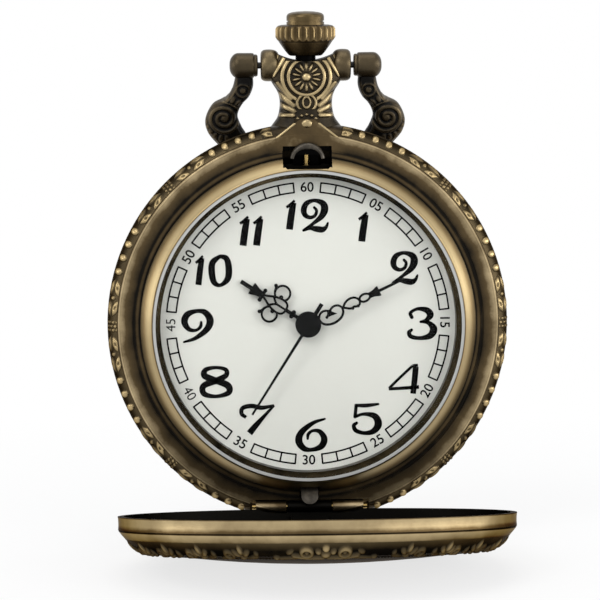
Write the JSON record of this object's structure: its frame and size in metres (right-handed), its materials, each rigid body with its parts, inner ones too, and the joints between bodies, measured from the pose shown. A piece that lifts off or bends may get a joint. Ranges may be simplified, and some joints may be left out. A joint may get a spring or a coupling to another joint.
{
  "type": "pocket watch",
  "caption": "Round quartz pocket watch whose hinged front cover stands open below a white dial, with openwork hands, fluted crown and swinging bow.",
  "frame": {"origin": "centre of the flat on the case back, on the axis of the hands", "axes": "+Z towards 12 o'clock and the crown, +X towards 3 o'clock, the dial faces -Y"},
  "size_m": [0.047, 0.0543, 0.062],
  "materials": {
    "bronze": "antiqued, rubbed bronze",
    "bright_brass": "satin brass",
    "gear_brass": "machined brass",
    "steel": "bright steel",
    "silicon_steel": "bare soft iron sheet",
    "black_steel": "black lacquer",
    "dial_white": "white dial enamel",
    "glass": "clear mineral glass",
    "black_rubber": "black seal",
    "movement_plastic": "moulded ivory plastic",
    "magnet": "sintered magnet",
    "copper_wire": "enamelled copper wire",
    "board_green": "green circuit board"
  },
  "bodies": {
    "case": {"case_middle": "bronze", "case_back": "bronze", "back_gasket": "black_rubber", "bezel": "bright_brass", "crystal": "glass", "crystal_gasket": "black_rubber", "pendant": "bronze", "pendant_tube": "bronze", "hinge_pin": "steel", "bow_pins": "steel", "dial": "dial_white", "lift_spring": "steel", "latch_spring": "steel", "main_plate": "movement_plastic", "train_bridge": "movement_plastic", "movement_ring": "movement_plastic", "stator": "silicon_steel", "coil": "copper_wire", "coil_core": "silicon_steel", "circuit_board": "board_green", "quartz_can": "steel", "battery": "steel", "battery_clamp": "bright_brass", "movement_screws": "steel", "yoke": "steel"},
    "cover": {"front_cover": "bronze"},
    "lift_tongue": {"lift_tongue": "steel"},
    "latch": {"latch": "steel"},
    "bow": {"bow": "bronze"},
    "clutch": {"clutch": "gear_brass"},
    "crown": {"crown": "bright_brass", "crown_gasket": "black_rubber", "stem": "gear_brass"},
    "button": {"crown_button": "bright_brass", "push_collar": "bright_brass", "button_spring": "steel"},
    "setting_lever": {"setting_lever": "steel"},
    "seconds": {"seconds_wheel": "gear_brass", "second_hand": "black_steel"},
    "minutes": {"cannon_pinion": "gear_brass", "centre_wheel": "gear_brass", "minute_hand": "black_steel"},
    "hours": {"hour_wheel": "gear_brass", "hour_hand": "black_steel"},
    "third": {"third_wheel": "gear_brass"},
    "fifth": {"fifth_wheel": "gear_brass"},
    "rotor": {"rotor_magnet": "magnet", "rotor_pinion": "movement_plastic"},
    "minute_wheel": {"minute_wheel": "gear_brass"},
    "setting_wheel": {"setting_wheel": "gear_brass"}
  },
  "joints": [
    {"name": "cover_hinge", "type": "hinge", "parent": "case", "child": "cover", "pos_m": [0, -0.00715, -0.0215], "axis": [1, 0, 0], "range_deg": [-82.4, 0], "stiffness_Nm_per_rad": 0.0004, "springref_deg": 20.05},
    {"name": "tongue_hinge", "type": "hinge", "parent": "case", "child": "lift_tongue", "pos_m": [0, -0.00742, -0.01872], "axis": [1, 0, 0], "range_deg": [-2, 20]},
    {"name": "bow_hinge", "type": "hinge", "parent": "case", "child": "bow", "pos_m": [0, -0.0044, 0.0302], "axis": [1, 0, 0], "range_deg": [0, 304]},
    {"name": "crown_turn", "type": "hinge", "parent": "case", "child": "clutch", "pos_m": [0, -0.0044, 0], "axis": [0, 0, 1], "continuous": true},
    {"name": "crown_pull", "type": "slide", "parent": "clutch", "child": "crown", "axis": [0, 0, 1], "range_m": [0, 0.001]},
    {"name": "button_press", "type": "slide", "parent": "crown", "child": "button", "axis": [0, 0, 1], "range_m": [-0.0006, 0], "stiffness_N_per_m": 600, "springref_m": 0.0003, "deforming": ["button_spring"]},
    {"name": "latch_slide", "type": "slide", "parent": "case", "child": "latch", "axis": [0, 0, 1], "range_m": [-0.00061, 0.00001]},
    {"name": "lever_turn", "type": "hinge", "parent": "case", "child": "setting_lever", "pos_m": [0.0023, -0.0044, 0.0109], "axis": [0, 1, 0], "range_deg": [-1, 26]},
    {"name": "seconds_turn", "type": "hinge", "parent": "case", "child": "seconds", "pos_m": [0, -0.00405, 0], "axis": [0, 1, 0], "continuous": true},
    {"name": "minutes_turn", "type": "hinge", "parent": "case", "child": "minutes", "pos_m": [0, -0.00405, 0], "axis": [0, 1, 0], "continuous": true},
    {"name": "hours_turn", "type": "hinge", "parent": "case", "child": "hours", "pos_m": [0, -0.00405, 0], "axis": [0, 1, 0], "continuous": true},
    {"name": "third_turn", "type": "hinge", "parent": "case", "child": "third", "pos_m": [-0.00319, -0.00405, -0.00116], "axis": [0, 1, 0], "continuous": true},
    {"name": "fifth_turn", "type": "hinge", "parent": "case", "child": "fifth", "pos_m": [0.00219, -0.00405, -0.00261], "axis": [0, 1, 0], "continuous": true},
    {"name": "rotor_turn", "type": "hinge", "parent": "case", "child": "rotor", "pos_m": [0.00263, -0.00405, -0.00509], "axis": [0, 1, 0], "continuous": true},
    {"name": "minute_wheel_turn", "type": "hinge", "parent": "case", "child": "minute_wheel", "pos_m": [0, -0.00505, 0.0022], "axis": [0, 1, 0], "continuous": true},
    {"name": "setting_wheel_turn", "type": "hinge", "parent": "case", "child": "setting_wheel", "pos_m": [0, -0.00505, 0.00495], "axis": [0, 1, 0], "continuous": true}
  ],
  "couplings": [
    {"joint": "minutes_turn", "follows": "seconds_turn", "ratio": 0.016667},
    {"joint": "hours_turn", "follows": "seconds_turn", "ratio": 0.0013889},
    {"joint": "third_turn", "follows": "seconds_turn", "ratio": -0.13333},
    {"joint": "fifth_turn", "follows": "seconds_turn", "ratio": -5},
    {"joint": "rotor_turn", "follows": "seconds_turn", "ratio": 30},
    {"joint": "minute_wheel_turn", "follows": "seconds_turn", "ratio": -0.0055556},
    {"joint": "setting_wheel_turn", "follows": "seconds_turn", "ratio": 0.0083333},
    {"joint": "tongue_hinge", "follows": "cover_hinge", "ratio": -0.21845},
    {"joint": "latch_slide", "follows": "button_press", "ratio": 1},
    {"joint": "lever_turn", "follows": "crown_pull", "rad_per_m": 428.12}
  ]
}
